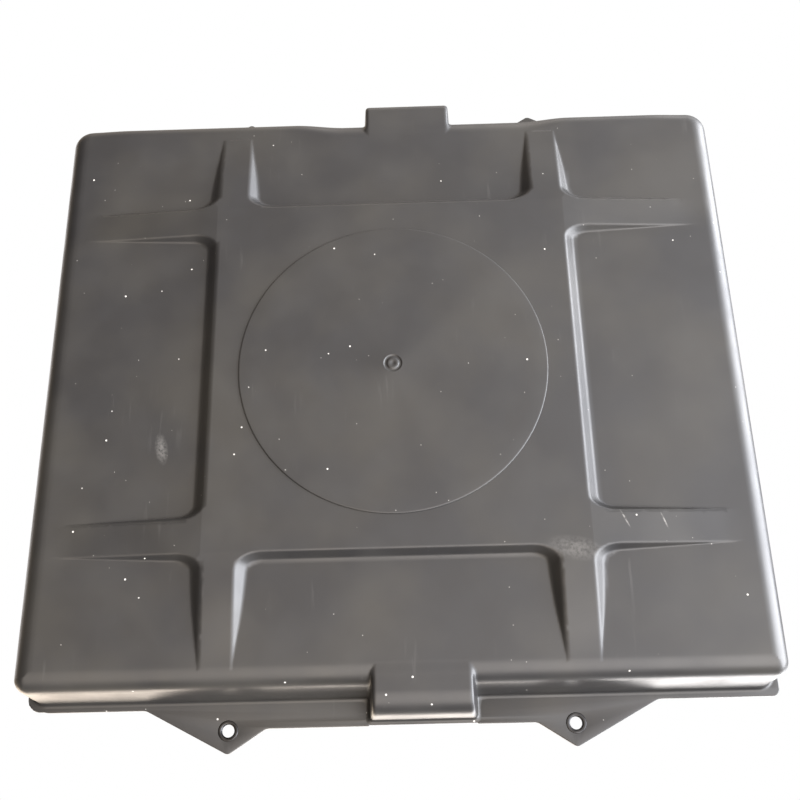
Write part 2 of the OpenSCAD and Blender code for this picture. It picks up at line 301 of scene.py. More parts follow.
def blackPolypropylene():
    look = blackMoulded
    material, tree, surface, place = startMaterial("blackPolypropyleneMoulded", {
        "IOR": look["ior"], "Metallic": 0.0})
    flow = addNode(tree, "ShaderNodeTexNoise", inputs={
        "Vector": place, "Scale": 1000 / look["flowMm"], "Detail": 4.0}, output="Fac")
    share = addNode(tree, "ShaderNodeMapRange", inputs={
        "Value": flow, "From Min": 0.4, "From Max": 0.65}, output=0)
    colour = addNode(tree, "ShaderNodeMix", {"data_type": "RGBA"}, {
        0: share, 6: linearColour(look["colour"]), 7: linearColour(look["flowColour"])}, output=2)
    # long faint scuffs from dragging, only where a broad patch allows them
    drawn = addNode(tree, "ShaderNodeMapping", inputs={"Vector": place, "Scale": (1, 0.08, 1)}, output=0)
    scuff = addNode(tree, "ShaderNodeTexNoise", inputs={
        "Vector": drawn, "Scale": 1000 / look["scuffMm"], "Detail": 2.0}, output="Fac")
    patch = addNode(tree, "ShaderNodeTexNoise", inputs={
        "Vector": place, "Scale": 1000 / look["patchMm"]}, output="Fac")
    scuff = addNode(tree, "ShaderNodeMapRange", inputs={
        "Value": scuff, "From Min": 0.62, "From Max": 0.72}, output=0)
    patch = addNode(tree, "ShaderNodeMapRange", inputs={
        "Value": patch, "From Min": 0.55, "From Max": 0.72, "To Max": 0.12}, output=0)
    scuffed = addNode(tree, "ShaderNodeMath", {"operation": "MULTIPLY"}, {0: scuff, 1: patch}, output=0)
    colour = addNode(tree, "ShaderNodeMix", {"data_type": "RGBA"}, {
        0: scuffed, 6: colour, 7: linearColour(look["scuffColour"])}, output=2)
    for width, radius, bare, strength in look["dust"]:
        cell = addNode(tree, "ShaderNodeTexVoronoi", {"feature": "F1"}, {
            "Vector": place, "Scale": 1000 / width})
        chance = addNode(tree, "ShaderNodeSeparateColor", inputs={"Color": cell.outputs["Color"]}, output=0)
        present = addNode(tree, "ShaderNodeMath", {"operation": "GREATER_THAN"}, {
            0: chance, 1: bare}, output=0)
        speck = addNode(tree, "ShaderNodeMapRange", inputs={
            "Value": cell.outputs["Distance"], "From Min": radius / width, "From Max": 0.5 * radius / width,
            "To Max": strength}, output=0)
        speck = addNode(tree, "ShaderNodeMath", {"operation": "MULTIPLY"}, {0: speck, 1: present}, output=0)
        colour = addNode(tree, "ShaderNodeMix", {"data_type": "RGBA"}, {
            0: speck, 6: colour, 7: linearColour(look["dustColour"])}, output=2)
    grit = addNode(tree, "ShaderNodeTexNoise", inputs={
        "Vector": place, "Scale": 1000 / look["gritMm"], "Detail": 4.0}, output="Fac")
    for x, y, length, width, turn, strength in look["marks"]:
        local = addNode(tree, "ShaderNodeMapping", {"vector_type": "TEXTURE"}, {
            "Vector": place, "Location": (x * mm, y * mm, 4 * mm), "Rotation": (0, 0, math.radians(turn)),
            "Scale": (length * mm, width * mm, 20 * mm)}, output=0)
        reach = addNode(tree, "ShaderNodeVectorMath", {"operation": "LENGTH"}, {0: local}, output="Value")
        inside = addNode(tree, "ShaderNodeMapRange", inputs={
            "Value": reach, "From Min": 1.0, "From Max": 0.3, "To Max": strength}, output=0)
        broken = addNode(tree, "ShaderNodeMapRange", inputs={
            "Value": grit, "From Min": 0.3, "From Max": 0.6}, output=0)
        rubbed = addNode(tree, "ShaderNodeMath", {"operation": "MULTIPLY"}, {0: inside, 1: broken}, output=0)
        colour = addNode(tree, "ShaderNodeMix", {"data_type": "RGBA"}, {
            0: rubbed, 6: colour, 7: linearColour(look["dustColour"])}, output=2)
    tree.links.new(colour, surface.inputs["Base Color"])
    wear = addNode(tree, "ShaderNodeTexNoise", inputs={
        "Vector": place, "Scale": 1000 / look["wearMm"], "Detail": 5.0}, output="Fac")
    rough = addNode(tree, "ShaderNodeMapRange", inputs={
        "Value": wear, "From Min": 0.35, "From Max": 0.68, "To Min": look["roughness"],
        "To Max": look["worn"]}, output=0)
    rough = addNode(tree, "ShaderNodeMath", {"operation": "ADD"}, {0: rough, 1: scuffed}, output=0)
    tree.links.new(rough, surface.inputs["Roughness"])
    peel = addNode(tree, "ShaderNodeTexNoise", inputs={
        "Vector": place, "Scale": 1000 / look["peelMm"], "Detail": 1.0}, output="Fac")
    peel = addNode(tree, "ShaderNodeBump", inputs={
        "Height": peel, "Distance": 0.03 * mm, "Strength": 0.6}, output=0)
    grain = addNode(tree, "ShaderNodeTexNoise", inputs={
        "Vector": place, "Scale": 1000 / look["grainMm"]}, output="Fac")
    grain = addNode(tree, "ShaderNodeBump", inputs={
        "Height": grain, "Distance": 0.02 * mm, "Strength": 0.6, "Normal": peel}, output=0)
    tree.links.new(grain, surface.inputs["Normal"])
    return material


# Steel, hot-dip galvanised after folding: a weathered grey skin with soft-edged zinc spangles that differ
# in tone and gloss, dulled by handling
galvanisedSheet = {"light": "#85898c", "dark": "#606468", "roughness": 0.38, "dull": 0.55,
                   "spangleMm": 8.0, "wanderMm": 4.0, "bendMm": 12, "cloudMm": 25.0, "rippleMm": 14.0}


def galvanisedSteel():
    look = galvanisedSheet
    material, tree, surface, place = startMaterial("steelHotDipGalvanised", {"Metallic": 1.0})
    wander = addNode(tree, "ShaderNodeTexNoise", inputs={
        "Vector": place, "Scale": 1000 / look["bendMm"]}, output="Color")
    bent = addNode(tree, "ShaderNodeVectorMath", {"operation": "SCALE"}, {
        0: wander, "Scale": look["wanderMm"] * mm}, output=0)
    moved = addNode(tree, "ShaderNodeVectorMath", {"operation": "ADD"}, {0: place, 1: bent}, output=0)
    cell = addNode(tree, "ShaderNodeTexVoronoi", {"feature": "F1"}, {
        "Vector": moved, "Scale": 1000 / look["spangleMm"]})
    tone = addNode(tree, "ShaderNodeSeparateColor", inputs={"Color": cell.outputs["Color"]})
    colour = addNode(tree, "ShaderNodeMix", {"data_type": "RGBA"}, {
        0: tone.outputs[0], 6: linearColour(look["light"]), 7: linearColour(look["dark"])}, output=2)
    tree.links.new(colour, surface.inputs["Base Color"])
    cloud = addNode(tree, "ShaderNodeTexNoise", inputs={
        "Vector": place, "Scale": 1000 / look["cloudMm"], "Detail": 4.0}, output="Fac")
    share = addNode(tree, "ShaderNodeMath", {"operation": "ADD"}, {
        0: tone.outputs[1], 1: cloud}, output=0)
    rough = addNode(tree, "ShaderNodeMapRange", inputs={
        "Value": share, "From Min": 0.4, "From Max": 1.6, "To Min": look["roughness"],
        "To Max": look["dull"]}, output=0)
    tree.links.new(rough, surface.inputs["Roughness"])
    ripple = addNode(tree, "ShaderNodeTexNoise", inputs={
        "Vector": place, "Scale": 1000 / look["rippleMm"]}, output="Fac")
    ripple = addNode(tree, "ShaderNodeBump", inputs={
        "Height": ripple, "Distance": 0.12 * mm, "Strength": 0.35}, output=0)
    frost = addNode(tree, "ShaderNodeBump", inputs={
        "Height": cell.outputs["Distance"], "Distance": 0.03 * mm, "Strength": 0.3,
        "Normal": ripple}, output=0)
    tree.links.new(frost, surface.inputs["Normal"])
    return material


def mouldedPlastic(name, look):
    # A fine tool texture, slight colour drift and handling wear
    material, tree, surface, place = startMaterial(name, {
        "IOR": look["ior"], "Metallic": 0.0, "Subsurface Weight": look["depth"],
        "Subsurface Radius": (0.002, 0.0015, 0.001)})
    drift = addNode(tree, "ShaderNodeTexNoise", inputs={
        "Vector": place, "Scale": 1000 / look["driftMm"], "Detail": 4.0}, output="Fac")
    share = addNode(tree, "ShaderNodeMapRange", inputs={
        "Value": drift, "From Min": 0.35, "From Max": 0.7}, output=0)
    colour = addNode(tree, "ShaderNodeMix", {"data_type": "RGBA"}, {
        0: share, 6: linearColour(look["colour"]), 7: linearColour(look["stain"])}, output=2)
    tree.links.new(colour, surface.inputs["Base Color"])
    wear = addNode(tree, "ShaderNodeTexNoise", inputs={
        "Vector": place, "Scale": 1000 / look["wearMm"], "Detail": 5.0}, output="Fac")
    rough = addNode(tree, "ShaderNodeMapRange", inputs={
        "Value": wear, "From Min": 0.3, "From Max": 0.75, "To Min": look["roughness"],
        "To Max": look["worn"]}, output=0)
    tree.links.new(rough, surface.inputs["Roughness"])
    grain = addNode(tree, "ShaderNodeTexNoise", inputs={
        "Vector": place, "Scale": 1000 / look["grainMm"]}, output="Fac")
    grain = addNode(tree, "ShaderNodeBump", inputs={
        "Height": grain, "Distance": 0.015 * mm, "Strength": 0.5}, output=0)
    tree.links.new(grain, surface.inputs["Normal"])
    return material


# Acetal, injection moulded in its natural ivory: waxy, slightly translucent, with a fine satin
naturalAcetal = {"colour": "#cbc6b4", "stain": "#b5ae98", "roughness": 0.36, "worn": 0.5, "ior": 1.48,
                 "grainMm": 0.7, "driftMm": 22, "wearMm": 9, "depth": 0.1}
# Polypropylene, injection moulded in blue and hot-plate welded: brighter gloss than the pan
bluePolypropylene = {"colour": "#2b5a96", "stain": "#25497a", "roughness": 0.28, "worn": 0.42, "ior": 1.49,
                     "grainMm": 0.9, "driftMm": 22, "wearMm": 9, "depth": 0.0}
# Nitrile rubber, compression moulded: dull black with a fine bloom
nitrileRubber = {"colour": "#1a1a1a", "stain": "#2a2928", "roughness": 0.62, "worn": 0.8, "ior": 1.52,
                 "grainMm": 0.5, "driftMm": 22, "wearMm": 9, "depth": 0.0}


def machinedMetal(name, look):
    # Fine tool lines round the part and a little tarnish in patches; the lines are drawn coarser than the
    # real 0.1 mm so that they show
    material, tree, surface, place = startMaterial(name, {"Metallic": 1.0})
    tarnish = addNode(tree, "ShaderNodeTexNoise", inputs={
        "Vector": place, "Scale": 1000 / look["tarnishMm"], "Detail": 5.0}, output="Fac")
    share = addNode(tree, "ShaderNodeMapRange", inputs={
        "Value": tarnish, "From Min": 0.4, "From Max": 0.75}, output=0)
    colour = addNode(tree, "ShaderNodeMix", {"data_type": "RGBA"}, {
        0: share, 6: linearColour(look["colour"]), 7: linearColour(look["stain"])}, output=2)
    tree.links.new(colour, surface.inputs["Base Color"])
    cut = addNode(tree, "ShaderNodeMapping", inputs={"Vector": place, "Scale": look["lines"]}, output=0)
    lines = addNode(tree, "ShaderNodeTexNoise", inputs={
        "Vector": cut, "Scale": 1000 / look["lineMm"]}, output="Fac")
    fine = addNode(tree, "ShaderNodeMapRange", inputs={
        "Value": lines, "From Min": 0.3, "From Max": 0.7, "To Min": -0.04, "To Max": 0.04}, output=0)
    rough = addNode(tree, "ShaderNodeMapRange", inputs={
        "Value": tarnish, "From Min": 0.3, "From Max": 0.8, "To Min": look["roughness"],
        "To Max": look["worn"]}, output=0)
    rough = addNode(tree, "ShaderNodeMath", {"operation": "ADD"}, {0: rough, 1: fine}, output=0)
    tree.links.new(rough, surface.inputs["Roughness"])
    bump = addNode(tree, "ShaderNodeBump", inputs={
        "Height": lines, "Distance": 0.01 * mm, "Strength": 0.5}, output=0)
    tree.links.new(bump, surface.inputs["Normal"])
    return material


# Brass, turned from bar: warm yellow with tool lines across the axis
turnedBrass = {"colour": "#c9a55c", "stain": "#9c7a3c", "roughness": 0.29, "worn": 0.42,
               "tarnishMm": 6, "lineMm": 1.2, "lines": (1, 6, 1)}
# Stainless steel, drawn wire and stamped strip: neutral bright grey with fine lines
drawnStainless = {"colour": "#c4c4c2", "stain": "#a2a29f", "roughness": 0.29, "worn": 0.4,
                  "tarnishMm": 6, "lineMm": 1.2, "lines": (1, 5, 5)}
# Steel, stamped and blackened with oil: nearly black, with glossy rolled edges
blackenedSteel = {"colour": "#3a3a3b", "stain": "#232324", "roughness": 0.13, "worn": 0.22,
                  "tarnishMm": 6, "lineMm": 1.2, "lines": (3, 3, 1)}

blackPlastic = blackPolypropylene()
galvanised = galvanisedSteel()
acetal = mouldedPlastic("acetalMouldedNatural", naturalAcetal)
floatBlue = mouldedPlastic("polypropyleneMouldedBlue", bluePolypropylene)
rubber = mouldedPlastic("nitrileRubberMoulded", nitrileRubber)
brass = machinedMetal("brassTurned", turnedBrass)
stainless = machinedMetal("stainlessSteelDrawn", drawnStainless)
blackSteel = machinedMetal("steelBlackened", blackenedSteel)
print("materials ready")


# ---- camera and light ----

# The camera stands below the ground plane and looks up at the trough's underside
shot = {"place": (-13.2, -289.0, -667.1), "aim": (-4.6, -24.9, 0.0), "lens": 45.57, "roll": -1.3}

camera = bpy.data.objects.new("camera", bpy.data.cameras.new("camera"))
bpy.context.scene.collection.objects.link(camera)
bpy.context.scene.camera = camera
camera.data.sensor_width = 36
camera.data.lens = shot["lens"]
camera.data.clip_start = 0.01
camera.location = Vector(shot["place"]) * mm
sight = (Vector(shot["aim"]) - Vector(shot["place"])).normalized()
# The near wall stands at the bottom of the frame, so the camera's up runs towards the inlet wall
sideways = sight.cross(Vector((0, 1, 0))).normalized()
upright = sideways.cross(sight)
turn = Matrix((sideways, upright, -sight)).transposed()
camera.rotation_euler = (turn @ Matrix.Rotation(math.radians(shot["roll"]), 3, "Z")).to_euler()


def softbox(name, place, aim, size, power, colour="#ffffff"):
    lamp = bpy.data.lights.new(name, "AREA")
    lamp.shape = "RECTANGLE"
    lamp.size, lamp.size_y = size
    lamp.energy = power
    lamp.color = linearColour(colour)[:3]
    light = bpy.data.objects.new(name, lamp)
    bpy.context.scene.collection.objects.link(light)
    light.location = place
    light.rotation_euler = (Vector(aim) - Vector(place)).to_track_quat("-Z", "Y").to_euler()
    light.visible_camera = False


softbox("keyAbove", (-0.9, -1.1, 1.5), (0, 0, 0), (1.2, 1.2), 11)
softbox("fillAbove", (1.4, 0.6, 1.1), (0, 0, 0.02), (1.4, 1.0), 6, "#f3f6ff")

# The room's light by direction: dim and warm on the +X side and a bright window on the -X side, with dim
# zones low at the rear and level in front, a bright strip low in front and pale light high in front
room = {
    "dim": 0.12, "bright": 5.3, "lean": 1.2, "above": 0.75, "window": 13.0, "rearDark": 0.4,
    "frontDark": 0.65, "frontStrip": 3.9, "frontAbove": 4.5, "warm": "#ffe9cf", "cool": "#f0f2f8",
}
world = bpy.data.worlds.new("paleRoom")
bpy.context.scene.world = world
world.use_nodes = True
air = world.node_tree
air.nodes.clear()
heading = addNode(air, "ShaderNodeTexCoord", output="Generated")
along = addNode(air, "ShaderNodeSeparateXYZ", inputs={0: heading})
headX, headY, headZ = along.outputs[0], along.outputs[1], along.outputs[2]
# angle of the heading in the plane across the front wall: 0 is straight down, pi / 2 is level in front
frontward = addNode(air, "ShaderNodeMath", {"operation": "MULTIPLY"}, {0: headY, 1: -1.0}, output=0)
downward = addNode(air, "ShaderNodeMath", {"operation": "MULTIPLY"}, {0: headZ, 1: -1.0}, output=0)
tilt = addNode(air, "ShaderNodeMath", {"operation": "ARCTAN2"}, {0: frontward, 1: downward}, output=0)
# each row fades one share of the room in or out: what it follows, start, end
fades = {
    "side": (headX, 0.85, -0.85), "below": (headZ, 0.35, -0.1),
    "inLeft": (headX, -0.85, -0.6), "inRight": (headX, 0.85, 0.6),
    "rearOn": (tilt, -0.15, -0.75), "rearOff": (tilt, -1.6, -1.0),
    "darkOn": (tilt, 1.15, 1.35), "darkOff": (tilt, 1.95, 1.8),
    "stripOn": (tilt, -0.15, 0.35), "stripOff": (tilt, 1.25, 1.0),
    "stripSide": (headX, 0.75, -0.3), "stripEdge": (headX, -0.62, -0.45),
    "windowSide": (headX, -0.62, -0.88), "windowUp": (headZ, 0.45, 0.15),
    "highOn": (tilt, 2.35, 2.5), "highOff": (tilt, 3.1, 2.9),
}
part = {}
for name, (value, low, high) in fades.items():
    part[name] = addNode(air, "ShaderNodeMapRange", {"interpolation_type": "SMOOTHSTEP"}, {
        "Value": value, "From Min": low, "From Max": high}, output=0)
leaning = addNode(air, "ShaderNodeMath", {"operation": "POWER"}, {0: part["side"], 1: room["lean"]}, output=0)
lower = addNode(air, "ShaderNodeMapRange", inputs={
    "Value": leaning, "To Min": room["dim"], "To Max": room["bright"]}, output=0)
level = addNode(air, "ShaderNodeMix", {"data_type": "FLOAT"}, {
    0: part["below"], 2: room["above"], 3: lower}, output=0)
middle = addNode(air, "ShaderNodeMath", {"operation": "MULTIPLY"}, {
    0: part["inLeft"], 1: part["inRight"]}, output=0)
# the two dim zones take a share of the level away
for first, second, strength in (("rearOn", "rearOff", room["rearDark"]),
                                ("darkOn", "darkOff", room["frontDark"])):
    zone = addNode(air, "ShaderNodeMath", {"operation": "MULTIPLY"}, {
        0: part[first], 1: part[second]}, output=0)
    zone = addNode(air, "ShaderNodeMath", {"operation": "MULTIPLY"}, {0: zone, 1: middle}, output=0)
    kept = addNode(air, "ShaderNodeMapRange", inputs={
        "Value": zone, "To Min": 1.0, "To Max": 1 - strength}, output=0)
    level = addNode(air, "ShaderNodeMath", {"operation": "MULTIPLY"}, {0: level, 1: kept}, output=0)
# and the three bright ones add to it
for names, strength in ((("stripOn", "stripOff", "stripSide", "stripEdge"), room["frontStrip"]),
                        (("windowSide", "windowUp"), room["window"]),
                        (("highOn", "highOff", "inLeft", "inRight"), room["frontAbove"])):
    glow = strength
    for name in names:
        glow = addNode(air, "ShaderNodeMath", {"operation": "MULTIPLY"}, {
            0: part[name], 1: glow}, output=0)
    level = addNode(air, "ShaderNodeMath", {"operation": "ADD"}, {0: level, 1: glow}, output=0)
tint = addNode(air, "ShaderNodeMix", {"data_type": "RGBA"}, {
    0: part["side"], 6: linearColour(room["warm"]), 7: linearColour(room["cool"])}, output=2)
toCamera = addNode(air, "ShaderNodeLightPath", output="Is Camera Ray")
roomLight = addNode(air, "ShaderNodeBackground", inputs={"Color": tint, "Strength": level})
backdrop = addNode(air, "ShaderNodeBackground", inputs={"Color": (1, 1, 1, 1), "Strength": 1.0})
blend = addNode(air, "ShaderNodeMixShader", inputs={
    0: toCamera, 1: roomLight.outputs[0], 2: backdrop.outputs[0]})
addNode(air, "ShaderNodeOutputWorld", inputs={"Surface": blend.outputs[0]})
bpy.context.scene.view_settings.view_transform = "Standard"

# The ground shows only from above, so the view from below looks straight up at the base. It lies a little
# under the pad, so that the two faces don't coincide
ground = {"half": 3.0, "drop": 0.3 * mm}
corners = [(-1, -1), (1, -1), (1, 1), (-1, 1)]
floorMesh = bpy.data.meshes.new("floor")
floorMesh.from_pydata([(x * ground["half"], y * ground["half"], -ground["drop"]) for x, y in corners], [],
                      [(0, 1, 2, 3)])
floor = bpy.data.objects.new("floor", floorMesh)
bpy.context.scene.collection.objects.link(floor)
paleFloor, floorTree, floorSurface, _ = startMaterial("floorPalePaper", {
    "Base Color": linearColour("#eceae6"), "Roughness": 0.9})
clear = addNode(floorTree, "ShaderNodeBsdfTransparent")
oneSide = addNode(floorTree, "ShaderNodeMixShader", inputs={
    0: addNode(floorTree, "ShaderNodeNewGeometry").outputs["Backfacing"],
    1: floorSurface.outputs[0], 2: clear.outputs[0]})
floorTree.links.new(oneSide.outputs[0], floorTree.nodes["Material Output"].inputs["Surface"])
floorMesh.materials.append(paleFloor)
floor.visible_shadow = False
floor.visible_diffuse = False
floor.visible_glossy = False
print("camera and light ready")


# ---- the moulded pan ----

panHigh = pieceBox("trough_pan")[1]
pan = {
    # outside faces of the side, front and rear walls; the front wall leans out towards the rim
    "halfWidth": 255.5, "frontFoot": -218.5, "frontTop": -222.5, "rear": 224.0,
    "frontCorner": 10.0, "rearCorner": 16.0, "top": panHigh.z, "wall": 3.0,
    # radii on which the walls roll into the base; rearMiddle is the x at which the rear one is widest,
    # and the distances from it over which it returns to the narrower one
    "roll": 14.0, "rearRoll": 12.0, "rearMiddleRoll": 19.0, "rearMiddle": (-35, 70, 110),
    # the raised hash on the base: its height, the run of its slopes, its plan and how softly its ribs end
    "relief": 7.0, "slopeRunX": 7.5, "slopeRunY": 4.5, "shift": 4.0, "crest": 1.4,
    "plateauX": 132.0, "plateauY": 135.0, "ribWidth": 23.0, "innerFillet": 15.0,
    "ribTipX": 229.0, "ribTipY": 203.0, "ribTipRear": 194.0, "ribBlunt": 45.0, "tipSoft": (10.0, 15.0),
    "pad": 1.0, "padRadius": 111.5,
    "channelX": -15.0, "channelHalf": 33.0, "channelLean": 0.08, "channelEnd": 237.5,
    "channelRolls": (15.0, 8.0), "channelEdge": 3.0, "channelRoot": 3.0,
    "rimThick": 3.0, "rimX": panHigh.x, "rimY": 227.5, "rimCorner": 10.0, "rimFrontCorners": (5.0, 17.0),
    "skirt": 6.0, "skirtFillet": 3.0,
    "shelfY": 241.0, "earX": 119.0, "earY": 242.0, "earTipY": 257.0, "earTipRadius": 4.0,
    "earInnerLean": 32.6, "earOuterLean": 27.5, "eyeletRadius": 7.0,
    "inletZ": 40.0, "inletRadius": 8.5,
}
panelZ = pan["pad"] + pan["relief"]
rimZ = pan["top"] - pan["rimThick"]
channelTopHalf = pan["channelHalf"] + pan["channelLean"] * (rimZ - panelZ)


def smoothStep(value, low, high):
    share = np.clip((value - low) / (high - low), 0, 1)
    return share * share * (3 - 2 * share)


def wallOutline(x, y, z):
    front = pan["frontFoot"] + (pan["frontTop"] - pan["frontFoot"]) * np.clip((z - 20) / (rimZ - 20), 0, 1)
    middle, half = (pan["rear"] + front) / 2, (pan["rear"] - front) / 2
    corner = np.where(y < 0, pan["frontCorner"], pan["rearCorner"])
    return planBox(x, y - middle, pan["halfWidth"], half, corner)


def channelSides(x, z):
    return np.abs(x - pan["channelX"]) - pan["channelHalf"] - pan["channelLean"] * np.maximum(z - panelZ, 0)


def panOutline(x, y, z):
    channels = smoothMax(channelSides(x, z), np.abs(y) - pan["channelEnd"], 2.5)
    return smoothMin(wallOutline(x, y, z), channels, 4.0)


def rolled(a, b, radius):
    # Two faces that meet on a round edge
    a, b = a + radius, b + radius
    return np.minimum(np.maximum(a, b), 0) + np.hypot(np.maximum(a, 0), np.maximum(b, 0)) - radius


def rimOutline(x, y):
    lip = planBox(x, y, pan["rimX"], pan["rimY"], pan["rimCorner"])
    shelf = planBox(x, y, pan["earX"], pan["shelfY"], 1.0)
    return np.minimum(lip, shelf)


def reliefHeight(x, y):
    acrossX, acrossY = np.abs(x), np.abs(y - pan["shift"])
    edgeX, edgeY = pan["plateauX"], pan["plateauY"]
    innerX, innerY = edgeX - pan["ribWidth"], edgeY - pan["ribWidth"]
    # the side ribs run out evenly; the front and rear ribs stay deep for longer
    tipY = np.where(y < pan["shift"], pan["ribTipY"], pan["ribTipRear"])
    leftX = smoothMax(pan["ribTipX"] - acrossX, 0, pan["tipSoft"][0])
    leftY = smoothMax(tipY - acrossY, 0, pan["tipSoft"][1])
    fadeX = np.minimum(leftX / (pan["ribTipX"] - edgeX), 1)
    lengthY = tipY - edgeY
    fadeY = np.minimum((1 - np.exp(-leftY / pan["ribBlunt"])) / (1 - np.exp(-lengthY / pan["ribBlunt"])), 1)
    ceiling = pan["relief"] * np.minimum(fadeX, fadeY)
    # distances are in slope runs, so one slope serves the gentler side faces and the steeper others
    scaleX, scaleY = 1 / pan["slopeRunX"], 1 / pan["slopeRunY"]
    farOff = 9
    plateau = np.maximum((acrossX - edgeX) * scaleX, (acrossY - edgeY) * scaleY)
    ribX = np.maximum((acrossY - edgeY) * scaleY, (innerY - acrossY) * scaleY)
    ribX = np.where(acrossX > pan["ribTipX"] + 6, farOff, ribX)
    ribY = np.maximum((acrossX - edgeX) * scaleX, (innerX - acrossX) * scaleX)
    ribY = np.where(acrossY > tipY + 8, farOff, ribY)
    side = np.minimum(plateau, np.minimum(ribX, ribY))
    # round fillets in the inward corners where ribs leave the plateau
    radius = pan["innerFillet"] / ((pan["slopeRunX"] + pan["slopeRunY"]) / 2)
    for cornerX, cornerY, signX, signY in ((edgeX, edgeY, 1, 1), (edgeX, innerY, 1, -1),
                                           (innerX, edgeY, -1, 1)):
        u, v = signX * (acrossX - cornerX) * scaleX, signY * (acrossY - cornerY) * scaleY
        arc = radius - np.hypot(np.maximum(radius - u, 0), np.maximum(radius - v, 0))
        near = (u > -1.5) & (v > -1.5) & (u < radius) & (v < radius)
        side = np.where(near, np.minimum(side, arc), side)
    fall = smoothMax(side * pan["relief"], 0, pan["crest"])
    return smoothMax(ceiling - fall, 0, 0.4 + 0.2 * ceiling)


def rollRadius(x, y):
    # The rear wall rolls into the base on a radius of its own, widest near its middle
    middle = 1 - smoothStep(np.abs(x), pan["halfWidth"] - 45, pan["halfWidth"] - 12)
    rear = smoothStep(y, 120, 180) * middle
    centre, near, far = pan["rearMiddle"]
    wider = 1 - smoothStep(np.abs(x - centre), near, far)
    rearRoll = pan["rearRoll"] + (pan["rearMiddleRoll"] - pan["rearRoll"]) * wider
    return pan["roll"] + rear * (rearRoll - pan["roll"])


def panField(x, y, z):
    height = reliefHeight(x, y)
    reach = 0.5
    slopeX = (reliefHeight(x + reach, y) - height) / reach
    slopeY = (reliefHeight(x, y + reach) - height) / reach
    under = (panelZ - height - z) / np.sqrt(1 + slopeX ** 2 + slopeY ** 2)
    walls, roll = wallOutline(x, y, z), rollRadius(x, y)
    block = rolled(walls, under, roll)
    endRoll = np.where(y < 0, *pan["channelRolls"])
    channel = rolled(np.abs(y) - pan["channelEnd"], under, endRoll)
    channel = smoothMax(channel, channelSides(x, z), pan["channelEdge"])
    # the channel leaves the block only where the walls roll away, so the flat base stays unbroken
    leaving = smoothStep(walls + roll, 1, 10)
    root = 0.05 + pan["channelRoot"] * leaving
    block = np.where(leaving > 0, smoothMin(block, channel + 0.01, root), block)
    # short skirt of the rim, which blends into the walls with a fillet
    skirt = np.maximum(np.maximum(panOutline(x, y, z) - pan["skirt"], rimOutline(x, y) + 0.6),
                       np.abs(z - rimZ - pan["rimThick"] / 2) - pan["rimThick"] / 2 + 0.04)
    solid = smoothMin(block, skirt, pan["skirtFillet"])
    shell = smoothMax(solid, -(block + pan["wall"]), 0.8)
    shell = smoothMax(shell, z - pan["top"], 1.0)
    bore = np.maximum(np.hypot(x - pan["channelX"], z - pan["inletZ"]) - pan["inletRadius"], 225 - y)
    return smoothMax(shell, -bore, 0.6)


def pairedZones(shift, zones):
    return [(shift + sign * centre, half, fine) for centre, half, fine in zones for sign in (-1, 1)]


def makePanShell():
    # the grid is finer along the walls, the slopes of the relief and the channels
    ribInX = pan["plateauX"] - pan["ribWidth"] - 3.7
    ribInY = pan["plateauY"] - pan["ribWidth"] - 2.2
    slopesX = [(pan["plateauX"] + 3.7, 6.5, 0.95), (ribInX, 6.5, 0.95)]
    lineX = gridLine(-268, 268, 5.0,
                     pairedZones(0, [(251, 12, 1.6)] + slopesX)
                     + pairedZones(pan["channelX"], [(pan["channelHalf"], 7, 1.0)]))
    lineY = gridLine(-246, 246, 5.0,
                     pairedZones(0, [(220, 24, 1.6)])
                     + pairedZones(pan["shift"], [(pan["plateauY"] + 2.2, 5, 0.9), (ribInY, 5, 0.9)]))
    lineZ = gridLine(-1.2, 64, 3.5, [(6, 8, 1.0), (18, 5, 2.0), (59, 5, 0.9)])
    points, faces = fieldSurface(panField, (lineX, lineY, lineZ))
    points = settleOnField(panField, points)
    normals = fieldSlope(panField, points, 0.15)
    normals /= np.maximum(np.linalg.norm(normals, axis=1, keepdims=True), 1e-9)
    mesh = bpy.data.meshes.new("panShell")
    mesh.from_pydata((points * mm).tolist(), [], faces.tolist())
    piece = bpy.data.objects.new("panShell", mesh)
    bpy.context.scene.collection.objects.link(piece)
    dressPiece(piece, blackPlastic, "root", "moulded_black", ["trough_pan"])
    mesh.normals_split_custom_set_from_vertices(normals.tolist())
    print("pan shell", len(faces), "faces")


def rimCorners():
    # The rim's outline, with an ear of two unequal leans near each end of both long edges
    radius, tip = pan["earTipRadius"], pan["earTipY"]
    inner, outer = math.radians(pan["earInnerLean"]), math.radians(pan["earOuterLean"])
    innerTop, outerTop = tip - radius + radius / math.cos(inner), tip - radius + radius / math.cos(outer)
    apex = (outerTop - innerTop) / (math.tan(inner) + math.tan(outer))
    quarter = [
        (pan["rimX"], pan["rimY"], pan["rimCorner"]),
        (pan["earX"] + (outerTop - pan["rimY"]) / math.tan(outer), pan["rimY"], 10),
        (pan["earX"] + apex, innerTop + apex * math.tan(inner), radius),
        (pan["earX"] - (innerTop - pan["shelfY"]) / math.tan(inner), pan["shelfY"], 8)]
    rear = quarter + [(-x, y, r) for x, y, r in reversed(quarter)]
    front = [(-x, -y, r) for x, y, r in rear]
    front[0] = (-pan["rimX"], -pan["rimY"], pan["rimFrontCorners"][0])
    front[-1] = (pan["rimX"], -pan["rimY"], pan["rimFrontCorners"][1])
    # the shelf draws back where the front channel crosses it
    left, right = pan["channelX"] - channelTopHalf, pan["channelX"] + channelTopHalf
    notch = [(left, -pan["shelfY"], 1), (left, -pan["channelEnd"] - 0.9, 1),
             (right, -pan["channelEnd"] - 0.9, 1), (right, -pan["shelfY"], 1)]
    return rear + front[:4] + notch + front[4:]


